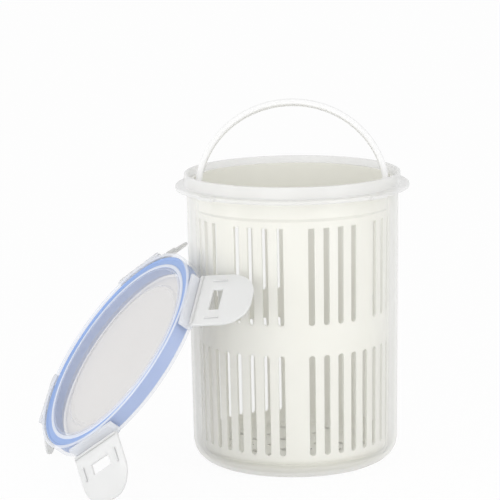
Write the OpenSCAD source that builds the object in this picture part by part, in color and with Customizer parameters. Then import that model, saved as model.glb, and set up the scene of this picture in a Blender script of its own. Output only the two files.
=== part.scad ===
// Round pickle keeper with a lift-out strainer, a swing handle and a four-wing locking lid.
// The keeper stands on z = 0 with its axis on Z. The lid is off and leans against the wall.

/* [Keeper] */
// Height of the keeper from foot to lip
keeper_h = 150.4; // [135:0.1:180]
// Outer radius of the body just under the flange
body_top_r = 54.4; // [53.5:0.1:56]
// Outer radius of the body at the foot
body_foot_r = 52.9; // [52:0.1:54]
// Radius of the rounded edge of the foot
foot_round = 11; // [6:0.5:13]
// Thickness of the keeper's wall
keeper_wall = 1.5; // [1.2:0.1:1.8]
// Thickness of the keeper's floor
keeper_floor = 2; // [1.5:0.1:3]
// How far the lip stands above the flange
lip_h = 6.1; // [5:0.1:7]
// How much wider the lip is than the body, on the radius
lip_swell = 1.1; // [0.8:0.1:1.5]
// How far the flange reaches past the body, on the radius
flange_reach = 5.6; // [5:0.1:6.5]
// Thickness of the flange
flange_t = 2.15; // [1.8:0.05:2.6]
// Width of each locking tab on the flange
tab_w = 12; // [8:0.5:13]
// How far each locking tab sticks out of the flange
tab_reach = 2; // [1.6:0.1:2.2]

/* [Strainer] */
// Room between the strainer's wall and the keeper's wall
strainer_gap = 2.9; // [2.3:0.1:4]
// Thickness of the strainer's wall
strainer_wall = 1.4; // [1.2:0.1:1.8]
// Radius of the rounded edge of the strainer's foot
strainer_round = 6; // [5:0.5:8]
// Height of the strainer's underside above the table
strainer_foot_z = 4.4; // [4:0.1:5.5]
// How much wider the collar is than the wall, on the radius
collar_swell = 1.8; // [1.5:0.1:1.9]
// Height of the collar
collar_h = 15; // [14:0.5:17]
// How far the strainer's rim lies below the keeper's lip
rim_drop = 3.4; // [3:0.1:5]
// Thickness of the ring that hangs on the keeper's step
hanger_t = 1.4; // [1.2:0.1:2]
// Width of one drain slot
slot_w = 3.2; // [2:0.1:3.6]
// Slots and gaps round the wall, counted together
slot_places = 40; // [40:20:40]
// Places from one blank to the next in the upper tier
upper_group = 5; // [4:1:10]
// Places from one blank to the next in the lower tier
lower_group = 10; // [5:5:20]
// Plain wall between the rounded foot and the lower slots
foot_margin = 1.8; // [1:0.1:5]
// Length of the lower slots
lower_slot_h = 51.7; // [40:0.1:54]
// Height of the plain band between the tiers
band_h = 15.3; // [10:0.1:18]
// Plain wall between the upper slots and the collar
collar_margin = 3.3; // [1.5:0.1:8]
// Turn of the strainer in the keeper
strainer_turn = 1.5; // [-5:0.1:5]
// Diameter of one drain hole in the floor
drain_d = 5; // [3:0.5:6]

/* [Handle] */
// How far the handle's pivot lies below the strainer's rim
pivot_drop = 7; // [6.5:0.1:8]
// Diameter of the handle's pivot pins
pivot_d = 5; // [4:0.1:5.5]
// Diameter of the round eyes at the handle's ends
eye_d = 9; // [8:0.1:9.4]
// Width of the handle's band in its own plane
handle_w = 3.3; // [2.8:0.1:4]
// Thickness of the handle's band across its plane
handle_t = 4.2; // [3:0.1:5]
// Lean of the raised handle towards the back
handle_lean = 28; // [0:1:45]

/* [Lid] */
// Height of the lid from its rim to its top
lid_h = 9.4; // [9:0.1:10]
// How far the lid's side lies inside the flange's edge
lid_inset = 1.7; // [1.5:0.1:2.2]
// Thickness of the lid's side
lid_side = 1.7; // [1.4:0.1:1.9]
// Thickness of the lid's deck, panel and inner wall
lid_wall = 1.5; // [1.2:0.1:1.6]
// Width of the channel that holds the gasket
channel_w = 6.4; // [6:0.1:6.6]
// How far the panel is sunk below the deck
panel_sink = 1.6; // [1.2:0.1:2]
// Radius of the raised bead on the panel
bead_r = 41; // [30:0.5:44]
// Depth of the gasket's face inside the rim
gasket_face = 1.2; // [1:0.1:1.4]
// How far the lip sinks into the gasket when the lid is locked
gasket_squeeze = 1.4; // [1:0.1:1.6]
// Lean of the lid away from the level
lid_lean = 52; // [48:0.5:56]
// Compass angle from the keeper to the lid
lid_bearing = 199.2; // [190:0.1:210]
// Compass angle that the lid's underside faces
lid_facing = 200; // [195:0.5:205]
// Turn of the lid in its own plane
lid_turn = 0.25; // [-2:0.05:2]
// Least room between the leaning lid and the keeper
lid_room = 0.3; // [0.3:0.1:3]

/* [Wings] */
// Height of the wings' hinge line above the lid's rim
hinge_h = 5.3; // [5:0.1:5.6]
// How far the hinge line lies outside the lid's side
hinge_out = 3.1; // [2.9:0.1:3.4]
// Half the width of a wing
wing_half = 17; // [16:0.1:18]
// Length of a wing from its hinge line
wing_l = 28.5; // [26:0.1:30]
// Radius of a wing's outer corners
wing_round = 14; // [10:0.5:14]
// Thickness of a wing
wing_t = 1.4; // [1.2:0.1:1.6]
// Length of the slot that takes a locking tab
wing_slot_l = 14; // [13.5:0.1:16]
// Room above and below the tab in the slot
slot_play = 1.5; // [0.8:0.1:1.8]
// Distance from a wing's middle to each of its ribs
rib_offset = 12.6; // [11:0.1:14]
// Backward fold of the wing nearest the keeper's front
near_fold_angle = 36; // [30:1:40]
// Backward fold of the wing at the far upper side
far_fold_angle = 30; // [15:1:40]
// Backward fold of the wing that stands in front
front_fold_angle = 36; // [34:1:40]
// Backward fold of the wing that stands behind
back_fold_angle = 41; // [34:1:44]

/* [Hidden] */
$fn = 96;

// Clearances
fit_room = 0.3;        // between curved faces that only pass each other
pin_room = 0.08;       // radial, round a pivot pin
barrel_room = 0.1;     // radial, round a wing's rolled edge
overcut = 1;           // how far a cut runs past the face it opens

// Keeper
lip_r = body_top_r + lip_swell;
mouth_r = lip_r - keeper_wall;
flange_r = body_top_r + flange_reach;
flange_top = keeper_h - lip_h;
flange_bottom = flange_top - flange_t;
well_r = body_top_r - keeper_wall;
step_drop = 0.8;       // from the flange's top to the inner step
step_z = flange_top - step_drop;

// Strainer
strainer_top_r = well_r - strainer_gap;
strainer_foot_r = body_foot_r - keeper_wall - strainer_gap;
rim_z = keeper_h - rim_drop;
collar_r = strainer_top_r + collar_swell;
collar_in_r = collar_r - strainer_wall;
collar_z = rim_z - collar_h;
hanger_z = step_z + fit_room;
hanger_room = 0.5;     // between the hanging ring and the mouth
hanger_r = mouth_r - hanger_room;
lower_slot_z = strainer_foot_z + strainer_round + foot_margin;
upper_slot_z = lower_slot_z + lower_slot_h + band_h;
upper_slot_h = collar_z - collar_margin - upper_slot_z;
place_angle = 360 / slot_places;
drain_pitch = 12;
drain_rings = 3;

// Handle
pivot_z = rim_z - pivot_drop;
pin_set_back = 0.1;    // of the pin's end inside the collar's outer face
handle_r = collar_in_r - fit_room;
eye_out = sqrt(handle_r * handle_r - eye_d * eye_d / 4);
handle_corner = 1.2;

// Lid, in its own frame: rim at z = 0, top up
lid_r = flange_r - lid_inset;
channel_out_r = lid_r - lid_side;
channel_in_r = channel_out_r - channel_w;
plug_r = channel_in_r - lid_wall;
deck_z = lid_h - lid_wall;
panel_top = lid_h - panel_sink;
panel_z = panel_top - lid_wall;
plug_rise = 0.2;       // of the inner wall below the gasket's face
plug_z = gasket_face - plug_rise;
lid_edge_round = 1.6;
bead_d = 2.4;
gasket_room = 0.05;
ridge_w = 1.7;         // sealing ridge at the gasket's inner edge
outer_ridge_w = 1;
ridge_h = 0.6;
hinge_r = lid_r + hinge_out;

// Wings, in their own frame: hinge line on Y, outwards along X
barrel_r = 0.9;
wing_inner = -0.4;     // inner face below the hinge line
nose_t = 1.3;
shoulder_half = wing_half;
shoulder_low = 0.4;
shoulder_high = 7.6;
shoulder_gap = 1.1;    // between the shoulder's face and the hinge line
shoulder_face = hinge_r - shoulder_gap;
shoulder_corner = 3;
root_inset = 0.6;      // of the rolled edge from the wing's side
wing_root_half = wing_half - root_inset;
corner_u = wing_l - wing_round;
corner_t = wing_half - wing_round;
slot_mid = hinge_h - gasket_face - gasket_squeeze + lip_h + flange_t / 2;
wing_slot_h = flange_t + 2 * slot_play;
rib_t = 0.9;
rib_h = 0.8;
rib_past = 1;          // of a rib past each end of the slot
rib_l = wing_slot_h + 2 * rib_past;
near_angle = 45;
front_angle = 135;
back_angle = 225;
far_angle = 315;

// Where the lid leans: its lower wings stand on the table, and its top edge
// lies against the wall of the keeper.
// How far a wing reaches below the lid's centre
function wing_drop(bearing, fold) =
    let (
        out = sin(lid_lean) * cos(bearing + lid_turn),
        across = sin(lid_lean) * abs(sin(bearing + lid_turn)),
        level = -cos(lid_lean),
        along = out * cos(fold) + level * sin(fold),
        face = level * cos(fold) - out * sin(fold),
        outer_face = wing_inner + wing_t
    )
    -(out * hinge_r + level * hinge_h
      + corner_u * along - corner_t * across
      - wing_round * sqrt(along * along + across * across)
      + min(wing_inner * face, outer_face * face));
lid_z = max(wing_drop(front_angle, front_fold_angle), wing_drop(back_angle, back_fold_angle));
edge_x = lid_r - lid_edge_round;
edge_z = lid_h - lid_edge_round;
touch_z = lid_z + edge_x * sin(lid_lean) - edge_z * cos(lid_lean);
touch_r = body_foot_r
    + (body_top_r - body_foot_r) * (touch_z - foot_round) / (flange_top - foot_round);
lid_distance = touch_r + edge_x * cos(lid_lean) + edge_z * sin(lid_lean)
    + lid_edge_round + lid_room;

// Outline of a vessel for revolving: straight tapered wall, rounded foot
module vessel_outline(foot_r, top_r, foot_z, top_z, round_r) {
    polygon([
        [0, foot_z + round_r],
        [foot_r, foot_z + round_r],
        [top_r, top_z],
        [0, top_z],
    ]);
    translate([0, foot_z])
        square([foot_r - round_r, round_r]);
    intersection() {
        translate([foot_r - round_r, foot_z + round_r]) circle(round_r);
        translate([foot_r - round_r, foot_z]) square(round_r);
    }
}

// Rectangle with four round corners
module soft_rect(w, h, r) {
    translate([r, 0]) square([w - 2 * r, h]);
    translate([0, r]) square([w, h - 2 * r]);
    for (x = [r, w - r], y = [r, h - r])
        translate([x, y]) circle(r);
}

module at_tabs() {
    for (k = [0:3])
        rotate([0, 0, 45 + 90 * k]) children();
}

module keeper_body() {
    color([0.92, 0.93, 0.91])
    difference() {
        union() {
            rotate_extrude() {
                vessel_outline(body_foot_r, body_top_r, 0, flange_top, foot_round);
                translate([0, flange_bottom]) square([flange_r, flange_t]);
                translate([0, flange_bottom]) square([lip_r, keeper_h - flange_bottom]);
            }
            at_tabs()
                translate([lip_r, -tab_w / 2, flange_bottom])
                    cube([flange_r + tab_reach - lip_r, tab_w, flange_t]);
        }
        rotate_extrude() {
            vessel_outline(body_foot_r - keeper_wall, well_r, keeper_floor,
                           flange_top, foot_round - keeper_wall);
            translate([0, step_z]) square([mouth_r, keeper_h - step_z + overcut]);
        }
    }
}

// One drain slot through the wall, pointing along X, with a round foot
module drain_slot(z, h, round_top) {
    half = slot_w / 2;
    start = min(strainer_foot_r, strainer_top_r) - strainer_wall - 2 * overcut;
    end = max(strainer_foot_r, strainer_top_r) + overcut;
    translate([start, 0, z])
        rotate([90, 0, 90])
            linear_extrude(end - start) {
                translate([-half, half]) square([slot_w, h - (round_top ? slot_w : half)]);
                translate([0, half]) circle(half);
                if (round_top) translate([0, h - half]) circle(half);
            }
}

module slot_tier(z, h, group, round_top) {
    for (k = [0:slot_places - 1])
        if (k % group != 0)
            rotate([0, 0, k * place_angle - 90])
                drain_slot(z, h, round_top);
}

module drain_holes() {
    cut_z = strainer_foot_z - overcut;
    cut_h = strainer_wall + 2 * overcut;
    translate([0, 0, cut_z]) cylinder(h = cut_h, d = drain_d);
    for (ring = [1:drain_rings], k = [0:6 * ring - 1])
        rotate([0, 0, k * 60 / ring])
            translate([ring * drain_pitch, 0, cut_z]) cylinder(h = cut_h, d = drain_d);
}

module strainer_basket() {
    color([0.96, 0.97, 0.95])
    rotate([0, 0, strainer_turn])
    difference() {
        rotate_extrude() {
            vessel_outline(strainer_foot_r, strainer_top_r, strainer_foot_z,
                           collar_z, strainer_round);
            polygon([
                [0, collar_z],
                [strainer_top_r, collar_z],
                [collar_r, collar_z + collar_swell],
                [collar_r, rim_z],
                [0, rim_z],
            ]);
            translate([0, hanger_z]) square([hanger_r, hanger_t]);
        }
        rotate_extrude() {
            vessel_outline(strainer_foot_r - strainer_wall, strainer_top_r - strainer_wall,
                           strainer_foot_z + strainer_wall, collar_z,
                           strainer_round - strainer_wall);
            polygon([
                [0, collar_z],
                [strainer_top_r - strainer_wall, collar_z],
                [collar_in_r, collar_z + collar_swell],
                [collar_in_r, rim_z + overcut],
                [0, rim_z + overcut],
            ]);
        }
        slot_tier(lower_slot_z, lower_slot_h, lower_group, true);
        slot_tier(upper_slot_z, upper_slot_h, upper_group, false);
        drain_holes();
        rotate([0, 0, -strainer_turn])
            translate([-collar_r - overcut, 0, pivot_z])
                rotate([0, 90, 0])
                    cylinder(h = 2 * (collar_r + overcut), d = pivot_d + 2 * pin_room);
    }
}

// The band is half a ring that stands on its two eyes; pins point outwards.
module swing_handle() {
    color([0.97, 0.97, 0.97])
    translate([0, 0, pivot_z])
    rotate([-handle_lean, 0, 0]) {
        rotate([90, 0, 0])
            rotate_extrude(angle = 180)
                translate([handle_r - handle_w, -handle_t / 2])
                    soft_rect(handle_w, handle_t, handle_corner);
        for (side = [0, 180])
            rotate([0, 0, side]) {
                translate([handle_r - handle_w, 0, 0])
                    rotate([0, 90, 0])
                        cylinder(h = eye_out - handle_r + handle_w, d = eye_d);
                translate([handle_r - handle_w, 0, 0])
                    rotate([0, 90, 0])
                        cylinder(h = collar_r - pin_set_back - handle_r + handle_w, d = pivot_d);
            }
    }
}

// Puts children from the lid's own frame where the lid leans
module leaning_lid() {
    translate([lid_distance * cos(lid_bearing), lid_distance * sin(lid_bearing), lid_z])
        rotate([0, lid_lean - 180, lid_facing])
            rotate([0, 0, lid_turn])
                children();
}

// Half outline of the lid for revolving
module lid_outline() {
    // side, with a rounded top edge
    translate([channel_out_r, 0]) square([lid_side, lid_h - lid_edge_round]);
    intersection() {
        translate([lid_r - lid_edge_round, lid_h - lid_edge_round]) circle(lid_edge_round);
        translate([lid_r - lid_edge_round, deck_z - lid_edge_round])
            square([lid_edge_round, lid_wall + lid_edge_round]);
    }
    // deck over the gasket
    translate([plug_r, deck_z]) square([lid_r - lid_edge_round - plug_r, lid_wall]);
    // inner wall
    translate([plug_r, plug_z]) square([lid_wall, lid_h - plug_z]);
    // sunk panel with its bead
    translate([0, panel_z]) square([plug_r + lid_wall / 2, lid_wall]);
    translate([bead_r, panel_z]) circle(d = bead_d);
}

// Ledge on the lid's side that carries one wing's hinge
module shoulder() {
    corner = shoulder_corner;
    low_w = shoulder_face - channel_out_r;
    difference() {
        union() {
            translate([channel_out_r, -shoulder_half, shoulder_low])
                linear_extrude(shoulder_high - shoulder_low) {
                    square([low_w - corner, 2 * shoulder_half]);
                    translate([0, corner]) square([low_w, 2 * (shoulder_half - corner)]);
                    for (y = [corner, 2 * shoulder_half - corner])
                        translate([low_w - corner, y]) circle(corner);
                }
            translate([channel_out_r, -wing_root_half, hinge_h - nose_t / 2])
                cube([hinge_r - channel_out_r, 2 * wing_root_half, nose_t]);
        }
        translate([0, 0, -overcut])
            cylinder(h = lid_h + 2 * overcut, r = channel_out_r + lid_side / 2);
        translate([hinge_r, 0, hinge_h]) rotate([90, 0, 0])
            cylinder(h = 2 * (wing_half + overcut), r = barrel_r + barrel_room, center = true);
    }
}

module lid_shell() {
    color([0.90, 0.91, 0.93])
    leaning_lid() {
        rotate_extrude() lid_outline();
        at_tabs() shoulder();
    }
}

module lid_gasket() {
    ring_w = channel_w - 2 * gasket_room;
    bed_z = gasket_face + ridge_h;
    color([0.62, 0.72, 0.90])
    leaning_lid()
        rotate_extrude()
            translate([channel_in_r + gasket_room, 0]) {
                translate([0, bed_z]) square([ring_w, deck_z - gasket_room - bed_z]);
                translate([0, gasket_face]) square([ridge_w, 2 * ridge_h]);
                translate([ring_w - outer_ridge_w, gasket_face])
                    square([outer_ridge_w, 2 * ridge_h]);
            }
}

module wing_outline() {
    translate([0, -wing_half]) square([corner_u, 2 * wing_half]);
    translate([0, -corner_t]) square([wing_l, 2 * corner_t]);
    for (side = [-1, 1])
        translate([corner_u, side * corner_t]) circle(wing_round);
}

// One wing lying level, inner face down
module lock_wing() {
    difference() {
        union() {
            translate([0, 0, wing_inner]) linear_extrude(wing_t) wing_outline();
            rotate([90, 0, 0]) cylinder(h = 2 * wing_root_half, r = barrel_r, center = true);
            for (side = [-1, 1])
                translate([slot_mid - rib_l / 2, side * rib_offset - rib_t / 2, wing_inner - rib_h])
                    cube([rib_l, rib_t, rib_h + wing_t / 2]);
        }
        translate([slot_mid - wing_slot_h / 2, -wing_slot_l / 2, wing_inner - overcut])
            cube([wing_slot_h, wing_slot_l, wing_t + 2 * overcut]);
    }
}

// A wing on the lid: which corner it sits on, and how far it is folded back
module placed_wing(bearing, fold) {
    color([0.95, 0.95, 0.95])
    leaning_lid()
        rotate([0, 0, bearing])
            translate([hinge_r, 0, hinge_h])
                rotate([0, -fold, 0])
                    lock_wing();
}

module lock_wing_near() { placed_wing(near_angle, near_fold_angle); }
module lock_wing_front() { placed_wing(front_angle, front_fold_angle); }
module lock_wing_back() { placed_wing(back_angle, back_fold_angle); }
module lock_wing_far() { placed_wing(far_angle, far_fold_angle); }

keeper_body();
strainer_basket();
swing_handle();
lid_shell();
lid_gasket();
lock_wing_near();
lock_wing_front();
lock_wing_back();
lock_wing_far();
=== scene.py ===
# %% [markdown]
# # A pickle keeper with a lift-out strainer
# This lesson dresses a moulded food keeper in Blender: a frosted pot, a slotted strainer on a
# swing handle, and a lid with a blue gasket and four lock wings that leans against the pot.
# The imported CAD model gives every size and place, so it is loaded first and never changed.

# %% Load the frame
import bpy
import bmesh
import math
from mathutils import Matrix, Vector


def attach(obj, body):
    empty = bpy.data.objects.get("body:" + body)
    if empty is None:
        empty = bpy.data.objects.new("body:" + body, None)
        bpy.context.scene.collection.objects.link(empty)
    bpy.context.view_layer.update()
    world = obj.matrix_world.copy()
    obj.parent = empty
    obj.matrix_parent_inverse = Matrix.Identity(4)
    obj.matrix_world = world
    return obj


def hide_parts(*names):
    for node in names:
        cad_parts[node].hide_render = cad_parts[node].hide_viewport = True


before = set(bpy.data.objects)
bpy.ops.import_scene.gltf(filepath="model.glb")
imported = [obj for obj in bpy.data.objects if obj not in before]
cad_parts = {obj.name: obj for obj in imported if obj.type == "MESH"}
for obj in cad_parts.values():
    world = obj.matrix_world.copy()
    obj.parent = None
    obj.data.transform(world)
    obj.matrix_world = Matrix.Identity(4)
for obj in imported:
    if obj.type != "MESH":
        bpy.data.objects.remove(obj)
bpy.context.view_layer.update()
MM = 0.001

# %% [markdown]
# ## Camera
# The photograph was taken from a little above, through a long lens. The place and the three
# axes below were fitted to the rims of the pot, so the picture lines up without any shift.

# %% Place the camera
right = Vector((0.9997632, 0.0149391, -0.015821))
up = Vector((0.0128371, 0.182134, 0.9831899))
look = Vector((-0.0175695, 0.9831602, -0.1818991))
camera = bpy.data.objects.new("camera", bpy.data.cameras.new("camera"))
bpy.context.scene.collection.objects.link(camera)
eye = (0, -1.24249, 0.33916)
focal_pixels, frame_pixels, sensor = 2450, 500, 36
turn = Matrix((right, up, -look)).transposed()
camera.matrix_world = Matrix.Translation(eye) @ turn.to_4x4()
camera.data.sensor_width = sensor
camera.data.lens = focal_pixels / frame_pixels * sensor
camera.data.clip_start = 0.05
bpy.context.scene.camera = camera
print("lens", round(camera.data.lens, 1), "mm")

# %% [markdown]
# ## Small helpers for materials
# Colours are easier to judge as they look on a screen, so one helper turns screen values from 0
# to 255 into the linear values that a shader wants. Moulded plastic is never quite even, so the
# helper for plastic adds a faint cloud of colour and a fine grain to the surface. Light crosses
# more of a milky wall where it slants, so rise makes the alpha grow towards a wall's edges. A
# Layer Weight's Facing output is used, because its Fresnel output goes solid on inner faces.

# %% Colour and node helpers
def screen(r, g, b):
    """Turns a screen colour from 0 to 255 into a shader's linear colour."""
    def line(c):
        c /= 255
        return c / 12.92 if c <= 0.04045 else ((c + 0.055) / 1.055) ** 2.4
    return (line(r), line(g), line(b), 1)


def noise(tree, where, scale, detail):
    """Adds a noise texture that reads the piece's own coordinates."""
    node = tree.nodes.new("ShaderNodeTexNoise")
    node.inputs["Scale"].default_value = scale
    node.inputs["Detail"].default_value = detail
    tree.links.new(where.outputs["Object"], node.inputs["Vector"])
    return node


def plastic(name, pale, deep, alpha=1.0, rough=0.3, glow=0, depth=0.003, grain=0.00002, rise=0):
    """Moulded plastic: two close shades in a soft cloud, a fine grain and a sheen."""
    made = bpy.data.materials.new(name)
    made.use_nodes = True
    tree = made.node_tree
    shader = tree.nodes["Principled BSDF"]
    where = tree.nodes.new("ShaderNodeTexCoord")
    cloud = noise(tree, where, 28, 3)
    shade = tree.nodes.new("ShaderNodeMix")
    shade.data_type = "RGBA"
    shade.inputs[6].default_value = deep
    shade.inputs[7].default_value = pale
    tree.links.new(cloud.outputs["Fac"], shade.inputs["Factor"])
    tree.links.new(shade.outputs[2], shader.inputs["Base Color"])
    frost = noise(tree, where, 1400, 4)
    bump = tree.nodes.new("ShaderNodeBump")
    bump.inputs["Strength"].default_value = 0.35
    bump.inputs["Distance"].default_value = grain
    tree.links.new(frost.outputs["Fac"], bump.inputs["Height"])
    tree.links.new(bump.outputs["Normal"], shader.inputs["Normal"])
    shader.inputs["Roughness"].default_value = rough
    shader.inputs["IOR"].default_value = 1.49
    shader.inputs["Subsurface Weight"].default_value = glow
    shader.inputs["Subsurface Scale"].default_value = 1
    shader.inputs["Subsurface Radius"].default_value = (depth, depth, depth)
    shader.inputs["Alpha"].default_value = alpha
    if rise:
        slant = tree.nodes.new("ShaderNodeLayerWeight")
        slant.inputs["Blend"].default_value = 0.5
        veil = tree.nodes.new("ShaderNodeMapRange")
        veil.inputs["From Min"].default_value = 0.35
        veil.inputs["To Min"].default_value = alpha
        veil.inputs["To Max"].default_value = alpha + rise
        tree.links.new(slant.outputs["Facing"], veil.inputs["Value"])
        tree.links.new(veil.outputs["Result"], shader.inputs["Alpha"])
    print("plastic", name)
    return made


# %% [markdown]
# ## Finishes
# The pot and the lid are natural polypropylene: milky, and clear enough to show what is behind.
# A low alpha gives that veil, because each wall is crossed twice, once on each of its faces.
# The strainer and the handle are whiter and hide what is behind. The wings and the shoulders let
# some light through, so they get a little subsurface glow. The gasket is soft silicone.

# %% Make the finishes
wall_finish = plastic("pot_wall", screen(248, 248, 246), screen(242, 242, 239), 0.08, rise=0.45)
foot_finish = plastic("pot_foot", screen(255, 254, 247), screen(251, 250, 241), 0.4)
rim_finish = plastic("pot_rim", screen(250, 250, 250), screen(245, 245, 244), 0.5)
strainer_finish = plastic("strainer_white", screen(248, 247, 240), screen(244, 243, 234),
                          rough=0.25, glow=0.2)
handle_finish = plastic("handle_white", screen(251, 251, 251), screen(247, 247, 247),
                        grain=0.000004)
skirt_finish = plastic("lid_clear", screen(240, 242, 249), screen(234, 237, 246), 0.18)
edge_finish = plastic("lid_edge", screen(248, 250, 254), screen(242, 245, 252), 0.6)
plug_finish = plastic("lid_milky", screen(242, 246, 255), screen(236, 240, 251), 0.3)
panel_finish = plastic("lid_panel", screen(222, 219, 217), screen(214, 211, 209), 0.4, 0.22)
shoulder_finish = plastic("lid_shoulder", screen(248, 250, 254), screen(243, 246, 252), 0.62,
                          glow=0.4, depth=0.002)
wing_finish = plastic("wing_white", screen(240, 240, 239), screen(234, 235, 235), 0.85, glow=0.5,
                      depth=0.002)
gasket_finish = plastic("blue_silicone", screen(158, 184, 230), screen(146, 174, 224), rough=0.35,
                        glow=0.15, depth=0.002)
# The paler silicone is partly a painted highlight for the ridge's pale line of light, and partly
# the milkier look of a thin silicone lip.
ridge_finish = plastic("pale_silicone_painted_highlight", screen(224, 229, 240), screen(215, 221, 235), rough=0.35)


# %% [markdown]
# ## Turned shapes
# The pot, the lid and the gasket are round, so each is drawn as half a cross-section and spun
# about its axis, as on a lathe. The section starts as one flat face. Bevelling its corners
# before the spin gives every edge of the moulding its radius at once.

# %% Helpers for turned shapes
def section(points, rounds):
    """A flat closed section in X and Z, in mm, with some corners rounded."""
    bm = bmesh.new()
    corners = [bm.verts.new((x * MM, 0, z * MM)) for x, z in points]
    bm.faces.new(corners)
    for radius in sorted(set(rounds.values())):
        chosen = [corners[k] for k, r in rounds.items() if r == radius]
        bmesh.ops.bevel(bm, geom=chosen, offset=radius * MM, offset_type="OFFSET", segments=5,
                        profile=0.5, affect="VERTICES", clamp_overlap=False, material=-1)
    bmesh.ops.delete(bm, geom=bm.faces[:], context="FACES_ONLY")
    return bm


def turned(bm, steps=144):
    """Spins a section all the way round Z and closes it."""
    for edge in [e for e in bm.edges if all(abs(v.co.x) < 1e-7 for v in e.verts)]:
        bm.edges.remove(edge)
    bmesh.ops.spin(bm, geom=bm.verts[:] + bm.edges[:], cent=(0, 0, 0), axis=(0, 0, 1),
                   angle=math.tau, steps=steps, use_merge=True, use_duplicate=False)
    bmesh.ops.remove_doubles(bm, verts=bm.verts[:], dist=1e-6)
    bmesh.ops.recalc_face_normals(bm, faces=bm.faces[:])
    return bm


def finish_piece(bm, name, materials, body, node=None, sharp=40):
    """Makes the mesh an object, gives it its finish, and seats it on its body."""
    mesh = bpy.data.meshes.new(name)
    bm.to_mesh(mesh)
    bm.free()
    mesh.shade_smooth()
    mesh.set_sharp_from_angle(angle=math.radians(sharp))
    for material in materials:
        mesh.materials.append(material)
    piece = bpy.data.objects.new(name, mesh)
    bpy.context.scene.collection.objects.link(piece)
    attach(piece, body)
    if node:
        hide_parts(node)
    print(name, len(mesh.polygons), "faces")
    return piece


# %% [markdown]
# ## The pot
# The pot has a rounded foot, a wall that widens slightly upwards, a small step inside that
# carries the strainer, a flange outside that the wings hook under, and a plain raised lip.
# The four locking tabs are pushed out of the flange's edge, so they share its rounded corners.
# The rim and the thick foot are milkier than the wall, so they take finishes of their own.

# %% Turn the pot
foot, neck, lip, mouth, flange = 52.9, 54.38, 55.5, 54.0, 60.0
flange_low, flange_high, step_z, lip_z = 142.15, 144.3, 143.5, 150.4
well, wall, floor = 52.89, 1.5, 2
pot_points = [
    (0, 0), (foot, 0), (neck, flange_low), (flange, flange_low), (flange, flange_high),
    (lip, flange_high), (lip, lip_z), (mouth, lip_z), (mouth, step_z), (well, step_z),
    (foot - wall, floor), (0, floor)]
pot_rounds = {1: 11, 3: 0.5, 4: 0.7, 2: 0.8, 5: 0.5, 6: 0.7, 7: 0.55, 8: 0.3, 9: 0.3, 10: 9.5}
pot = turned(section(pot_points, pot_rounds))
rim_faces = [f for f in pot.faces
             if abs(f.calc_center_median().xy.length - flange * MM) < 0.2 * MM
             and abs(f.normal.z) < 0.5]
print("faces on the flange's edge:", len(rim_faces))

# %% Push out the four tabs
tab_reach = 2
tab_spread = math.cos(math.radians(5))
bearings = [45, 135, 225, 315]
for bearing in bearings:
    middle = math.radians(bearing)
    outwards = Vector((math.cos(middle), math.sin(middle), 0))
    patch = [f for f in rim_faces if f.is_valid
             and f.calc_center_median().xy.normalized().dot(outwards.xy) > tab_spread]
    pushed = bmesh.ops.extrude_face_region(pot, geom=patch)
    bmesh.ops.delete(pot, geom=patch, context="FACES_ONLY")
    moved = [v for v in pushed["geom"] if isinstance(v, bmesh.types.BMVert)]
    bmesh.ops.translate(pot, verts=moved, vec=outwards * tab_reach * MM)
print("tabs at", bearings, "degrees")

# %% Share out the pot's finishes
rim_from, foot_to = 141, 9
for face in pot.faces:
    height = face.calc_center_median().z / MM
    face.material_index = 1 if height > rim_from else 2 * int(height < foot_to)
finish_piece(pot, "keeper_pot", [wall_finish, rim_finish, foot_finish], "keeper", "keeper_body")

# %% [markdown]
# ## The strainer
# The CAD strainer already has its slots, drain holes and collar in true shape, so it stays and
# only takes a finish.

# %% Finish the strainer
def dress(node, material):
    """Gives a CAD node a new finish."""
    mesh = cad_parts[node].data
    mesh.materials.clear()
    mesh.materials.append(material)


dress("strainer_basket", strainer_finish)

# %% [markdown]
# ## The handle
# The handle is half a ring of soft rectangular section. Its section is spun half a turn about
# the pivot line, and its two eyes and pins are short rods with rounded rims.

# %% Bend the handle
lean = math.radians(28)
pivot_z = 140


def rod(bm, start, end, radius, edge):
    """A short round rod along X with bevelled rims, added to a mesh."""
    made = bmesh.ops.create_cone(bm, cap_ends=True, segments=48, radius1=radius * MM,
                                 radius2=radius * MM, depth=abs(end - start) * MM)
    rims = {e for v in made["verts"] for e in v.link_edges if len(e.link_faces) == 2
            and abs(e.calc_face_angle()) > 1}
    done = bmesh.ops.bevel(bm, geom=list(rims), offset=edge * MM, offset_type="OFFSET",
                           segments=3, profile=0.5, affect="EDGES", clamp_overlap=True, material=-1)
    verts = list({v for v in made["verts"] if v.is_valid} | set(done["verts"]))
    bmesh.ops.rotate(bm, verts=verts, cent=(0, 0, 0), matrix=Matrix.Rotation(math.pi / 2, 3, "Y"))
    bmesh.ops.translate(bm, verts=verts, vec=((start + end) / 2 * MM, 0, 0))


inner, outer, half = 46.8, 50.1, 2.1
band = bmesh.new()
cut = [band.verts.new((x * MM, y * MM, 0))
       for x, y in ((inner, -half), (outer, -half), (outer, half), (inner, half))]
band.faces.new(cut)
bmesh.ops.bevel(band, geom=cut, offset=1.2 * MM, offset_type="OFFSET", segments=5,
                profile=0.5, affect="VERTICES", clamp_overlap=True, material=-1)
bmesh.ops.spin(band, geom=band.faces[:], cent=(0, 0, 0), axis=(0, -1, 0), angle=math.pi,
               steps=96, use_duplicate=False)
bmesh.ops.recalc_face_normals(band, faces=band.faces[:])
eye_r, pin_r = 4.5, 2.5
for side in (1, -1):
    rod(band, inner * side, 49.9 * side, eye_r, 0.5)
    rod(band, 47.5 * side, 51.7 * side, pin_r, 0.3)
bmesh.ops.rotate(band, verts=band.verts[:], cent=(0, 0, 0), matrix=Matrix.Rotation(-lean, 3, "X"))
bmesh.ops.translate(band, verts=band.verts[:], vec=(0, 0, pivot_z * MM))
finish_piece(band, "handle_bail", [handle_finish], "handle", "swing_handle")

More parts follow.
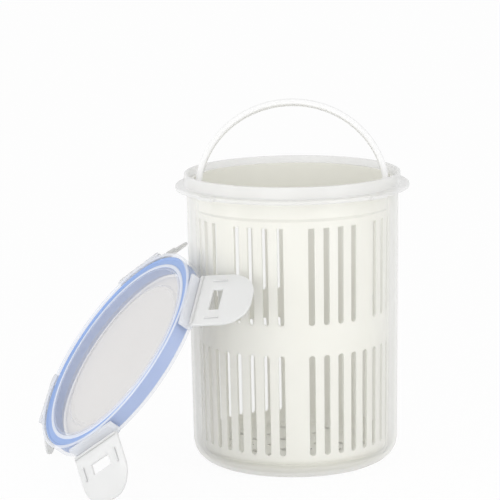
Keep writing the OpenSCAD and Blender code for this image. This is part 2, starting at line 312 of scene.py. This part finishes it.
# %% [markdown]
# ## The lid's place
# The lid and its wings are easiest to model lying flat, rim down. One matrix then carries them
# to where the lid leans: turned over, leaning at 52 degrees, with its centre beside the pot.

# %% Work out the lid's place
lid_centre = Vector((-91.5211, -31.871, 65.0684)) * MM
lid_facing, lid_lean, lid_turn = 200, 52, 0.25
lid_place = (Matrix.Translation(lid_centre) @ Matrix.Rotation(math.radians(lid_facing), 4, "Z")
             @ Matrix.Rotation(math.radians(lid_lean - 180), 4, "Y")
             @ Matrix.Rotation(math.radians(lid_turn), 4, "Z"))
print("lid faces", [round(c, 3) for c in -lid_place.col[2].xyz])

# %% [markdown]
# ## The lid
# Seen from below the lid is a channel for the gasket, an inner wall that plugs into the mouth,
# and a sunk panel with a raised bead. All of it is one section, so it is turned in one go. Its
# clear side lets the blue gasket show, while the panel and the side's edge are cloudier.

# %% Turn the lid
lid_points = [
    (0, 6.3), (39.8, 6.3), (41, 5.1), (42.2, 6.3), (48.7, 6.3), (48.7, 1), (50.2, 1), (50.2, 7.9),
    (56.6, 7.9), (56.6, 0), (58.3, 0), (58.3, 9.4), (48.7, 9.4), (48.7, 7.8), (0, 7.8)]
lid_rounds = {1: 0.5, 2: 0.8, 3: 0.5, 4: 1.2, 5: 0.6, 6: 0.6, 9: 0.5, 10: 0.5, 11: 1.6, 12: 0.5,
              13: 0.5}
lid = turned(section(lid_points, lid_rounds))
panel_r, plug_r, side_r, edge_z = 48.6, 50.3, 56.5, 0.7
for face in lid.faces:
    middle = face.calc_center_median()
    reach, depth = middle.xy.length / MM, middle.z / MM
    if reach > side_r:
        face.material_index = 3 if depth < edge_z else 0
    else:
        face.material_index = 2 if reach < panel_r else int(reach < plug_r)
bmesh.ops.transform(lid, matrix=lid_place, verts=lid.verts[:])
lid_finishes = [skirt_finish, plug_finish, panel_finish, edge_finish]
finish_piece(lid, "lid_cover", lid_finishes, "lid", "lid_shell")

# %% [markdown]
# ## The gasket
# The silicone ring fills the lid's channel. Its face has a low ridge at its inner edge and a hollow
# beside it, where the pot's lip presses in. The ridge's top gets a paler finish. Part of it is the
# milkier look of the thin silicone lip, and part of it is a painted highlight for the pale line of
# light that the ridge catches.

# %% Turn the gasket
ring_points = [(50.25, 1.25), (52, 1.25), (52.5, 1.85), (55.3, 1.85), (55.7, 1.25), (56.5, 1.25),
               (56.5, 7.85), (50.25, 7.85)]
ring = turned(section(ring_points, {0: 0.4, 1: 0.4, 2: 0.3, 3: 0.3, 4: 0.3, 5: 0.3}))
ridge_in, ridge_out, ridge_z = 50.3, 52.3, 2
# The ridge's top faces take the paler finish: partly a painted highlight, and partly the milkier
# thin lip.
for face in ring.faces:
    middle = face.calc_center_median() / MM
    face.material_index = int(ridge_in < middle.xy.length < ridge_out and middle.z < ridge_z)
bmesh.ops.transform(ring, matrix=lid_place, verts=ring.verts[:])
finish_piece(ring, "gasket_ring", [gasket_finish, ridge_finish], "lid", "lid_gasket")

# %% [markdown]
# ## Shoulders
# Four shoulders stand out of the lid's side and carry the wings. Each starts as a cube, gets
# its outer corners rounded, and is turned to its place. They stay a little inside the side
# wall, so no gap shows. Where two bevels meet they leave faces of no size, which are dissolved.

# %% Add the shoulders
def block(bm, low, high, corner, edge):
    """A box in mm with rounded outer upright corners and softened edges."""
    made = bmesh.ops.create_cube(bm, size=1)["verts"]
    size = Vector(high) - Vector(low)
    middle = (Vector(high) + Vector(low)) / 2
    bmesh.ops.scale(bm, verts=made, vec=size * MM)
    bmesh.ops.translate(bm, verts=made, vec=middle * MM)
    outer = [e for e in {e for v in made for e in v.link_edges}
             if all(abs(v.co.x - high[0] * MM) < 1e-6 for v in e.verts)
             and abs(e.verts[0].co.z - e.verts[1].co.z) > 1e-6]
    if corner:
        done = bmesh.ops.bevel(bm, geom=outer, offset=corner * MM, offset_type="OFFSET",
                               segments=6, profile=0.5, affect="EDGES", clamp_overlap=True,
                               material=-1)
        made = list({v for v in made if v.is_valid} | set(done["verts"]))
    rims = [e for e in {e for v in made for e in v.link_edges}
            if len(e.link_faces) == 2 and e.calc_face_angle() > 1]
    done = bmesh.ops.bevel(bm, geom=rims, offset=edge * MM, offset_type="OFFSET", segments=2,
                           profile=0.5, affect="EDGES", clamp_overlap=True, material=-1)
    return list({v for v in made if v.is_valid} | set(done["verts"]))


wing_half = 17
shoulders = bmesh.new()
for bearing in bearings:
    made = block(shoulders, (57.6, -wing_half, 0.4), (60.3, wing_half, 7.6), 2.4, 0.4)
    made += block(shoulders, (58.5, -16.4, 4.65), (60.4, 16.4, 5.95), 0, 0.2)
    bmesh.ops.rotate(shoulders, verts=made, cent=(0, 0, 0),
                     matrix=Matrix.Rotation(math.radians(bearing), 3, "Z"))
bmesh.ops.remove_doubles(shoulders, verts=shoulders.verts[:], dist=1e-6)
bmesh.ops.dissolve_degenerate(shoulders, dist=1e-6, edges=shoulders.edges[:])
bmesh.ops.transform(shoulders, matrix=lid_place, verts=shoulders.verts[:])
finish_piece(shoulders, "lid_shoulders", [shoulder_finish], "lid", "lid_shell")

# %% [markdown]
# ## Lock wings
# A wing is a tongue-shaped plate with a slot that hooks over a tab of the pot. Its outline and
# its slot are drawn as two loops of edges, the sheet between them is filled, and it is given
# its thickness. Two ribs and a rolled hinge edge are added before the wing is folded back.

# %% Build one wing
wing_long, wing_thick, underside = 28.5, 1.4, -0.4
slot_near, slot_far, slot_half = 7.3, 12.45, 7
hinge_r, hinge_h = 61.4, 5.3


def wing(fold, bearing):
    """A wing in mm, folded back by an angle, on the lid at a bearing."""
    bm = bmesh.new()
    outline = [bm.verts.new((x * MM, y * MM, underside * MM))
               for x, y in ((0, -wing_half), (wing_long, -wing_half),
                            (wing_long, wing_half), (0, wing_half))]
    bm.faces.new(outline)
    bmesh.ops.bevel(bm, geom=outline[1:3], offset=14 * MM, offset_type="OFFSET", segments=14,
                    profile=0.5, affect="VERTICES", clamp_overlap=True, material=-1)
    bmesh.ops.delete(bm, geom=bm.faces[:], context="FACES_ONLY")
    hole = [bm.verts.new((x * MM, y * MM, underside * MM))
            for x, y in ((slot_near, -slot_half), (slot_far, -slot_half),
                         (slot_far, slot_half), (slot_near, slot_half))]
    for k in range(4):
        bm.edges.new((hole[k], hole[k - 1]))
    bmesh.ops.triangle_fill(bm, use_beauty=True, edges=bm.edges[:])
    raised = bmesh.ops.extrude_face_region(bm, geom=bm.faces[:], use_keep_orig=True)
    lifted = [v for v in raised["geom"] if isinstance(v, bmesh.types.BMVert)]
    bmesh.ops.translate(bm, verts=lifted, vec=(0, 0, wing_thick * MM))
    bmesh.ops.recalc_face_normals(bm, faces=bm.faces[:])
    rims = [e for e in bm.edges if len(e.link_faces) == 2 and e.calc_face_angle() > 1
            and abs(e.verts[0].co.z - e.verts[1].co.z) < 1e-7]
    bmesh.ops.bevel(bm, geom=rims, offset=0.3 * MM, offset_type="OFFSET", segments=2,
                    profile=0.5, affect="EDGES", clamp_overlap=True, material=-1)
    for side in (-12.6, 12.6):
        block(bm, (6.3, side - 0.45, -1.2), (13.45, side + 0.45, 0), 0, 0.15)
    barrel = bmesh.ops.create_cone(bm, cap_ends=True, segments=24, radius1=0.9 * MM,
                                   radius2=0.9 * MM, depth=32.8 * MM)["verts"]
    bmesh.ops.rotate(bm, verts=barrel, cent=(0, 0, 0), matrix=Matrix.Rotation(math.pi / 2, 3, "X"))
    fold_back = Matrix.Rotation(math.radians(-fold), 4, "Y")
    hinge = Matrix.Translation((hinge_r * MM, 0, hinge_h * MM))
    place = lid_place @ Matrix.Rotation(math.radians(bearing), 4, "Z") @ hinge @ fold_back
    bmesh.ops.transform(bm, matrix=place, verts=bm.verts[:])
    return bm


# %% Hang the four wings
for name, bearing, fold in (("near", 45, 36), ("front", 135, 36), ("back", 225, 41),
                            ("far", 315, 30)):
    finish_piece(wing(fold, bearing), "wing_" + name, [wing_finish], "wing_" + name,
                 "lock_wing_" + name)

# %% [markdown]
# ## Table, backdrop and light
# The table and the world look white to the camera, and stay plain for the light that they
# throw on the object. Two narrow lamps stand close to the pot on the table, where its shiny
# side mirrors them as upright streaks. A wide lamp in front lights the corner below the wing.

# %% Make the table
table_finish = bpy.data.materials.new("table_white")
table_finish.use_nodes = True
tree = table_finish.node_tree
tree.nodes.clear()
output = tree.nodes.new("ShaderNodeOutputMaterial")
ray = tree.nodes.new("ShaderNodeLightPath")
paint = tree.nodes.new("ShaderNodeBsdfDiffuse")
paint.inputs["Color"].default_value = (0.9, 0.9, 0.9, 1)
white = tree.nodes.new("ShaderNodeEmission")
white.inputs["Strength"].default_value = 1
veil = tree.nodes.new("ShaderNodeMixShader")
veil.inputs[0].default_value = 0.95
choose = tree.nodes.new("ShaderNodeMixShader")
seen = tree.nodes.new("ShaderNodeMath")
seen.operation = "MAXIMUM"
seen_more = tree.nodes.new("ShaderNodeMath")
seen_more.operation = "MAXIMUM"
tree.links.new(ray.outputs["Is Camera Ray"], seen.inputs[0])
tree.links.new(ray.outputs["Is Glossy Ray"], seen.inputs[1])
tree.links.new(seen.outputs[0], seen_more.inputs[0])
tree.links.new(ray.outputs["Is Transmission Ray"], seen_more.inputs[1])
tree.links.new(paint.outputs[0], veil.inputs[1])
tree.links.new(white.outputs[0], veil.inputs[2])
tree.links.new(seen_more.outputs[0], choose.inputs[0])
tree.links.new(paint.outputs[0], choose.inputs[1])
tree.links.new(veil.outputs[0], choose.inputs[2])
tree.links.new(choose.outputs[0], output.inputs["Surface"])

table_mesh = bmesh.new()
bmesh.ops.create_grid(table_mesh, x_segments=1, y_segments=1, size=6)
bmesh.ops.translate(table_mesh, verts=table_mesh.verts[:], vec=(0, 0, -0.0002))
sheet = bpy.data.meshes.new("table")
table_mesh.to_mesh(sheet)
table_mesh.free()
sheet.materials.append(table_finish)
table = bpy.data.objects.new("table", sheet)
bpy.context.scene.collection.objects.link(table)

# %% Light the world
world = bpy.data.worlds.new("studio")
bpy.context.scene.world = world
world.use_nodes = True
tree = world.node_tree
tree.nodes.clear()
output = tree.nodes.new("ShaderNodeOutputWorld")
ray = tree.nodes.new("ShaderNodeLightPath")
fill = tree.nodes.new("ShaderNodeBackground")
fill.inputs["Color"].default_value = (1, 1, 1, 1)
fill.inputs["Strength"].default_value = 0.76
backdrop = tree.nodes.new("ShaderNodeBackground")
backdrop.inputs["Color"].default_value = (1, 1, 1, 1)
backdrop.inputs["Strength"].default_value = 1
seen = tree.nodes.new("ShaderNodeMath")
seen.operation = "MAXIMUM"
pick = tree.nodes.new("ShaderNodeMixShader")
tree.links.new(ray.outputs["Is Camera Ray"], seen.inputs[0])
tree.links.new(ray.outputs["Is Transmission Ray"], seen.inputs[1])
tree.links.new(seen.outputs[0], pick.inputs[0])
tree.links.new(fill.outputs[0], pick.inputs[1])
tree.links.new(backdrop.outputs[0], pick.inputs[2])
tree.links.new(pick.outputs[0], output.inputs["Surface"])

# %% Add the soft lamps
def soft_lamp(name, bearing, height, distance, width, tall, power):
    """A flat lamp at a compass angle from the front, facing the pot."""
    data = bpy.data.lights.new(name, "AREA")
    data.shape = "RECTANGLE"
    data.size = width
    data.size_y = tall
    data.energy = power
    lamp = bpy.data.objects.new(name, data)
    bpy.context.scene.collection.objects.link(lamp)
    a = math.radians(bearing)
    spot = Vector((distance * math.sin(a), -distance * math.cos(a), height))
    aim = Vector((0, 0, 0.08)) - spot
    lamp.matrix_world = Matrix.Translation(spot) @ aim.to_track_quat("-Z", "Y").to_matrix().to_4x4()
    print("lamp", name, round(power, 1), "W")


soft_lamp("left_strip", bearing=-68, height=0.2, distance=0.4, width=0.1, tall=0.36, power=0.25)
soft_lamp("right_strip", bearing=42, height=0.2, distance=0.4, width=0.16, tall=0.36, power=0.3)
soft_lamp("front_low", bearing=-18, height=0.22, distance=1.5, width=1.0, tall=0.44, power=4.0)

# %% [markdown]
# ## Colour management
# The Standard view shows each colour as it is written.

# %% Finish
bpy.context.scene.view_settings.view_transform = "Standard"
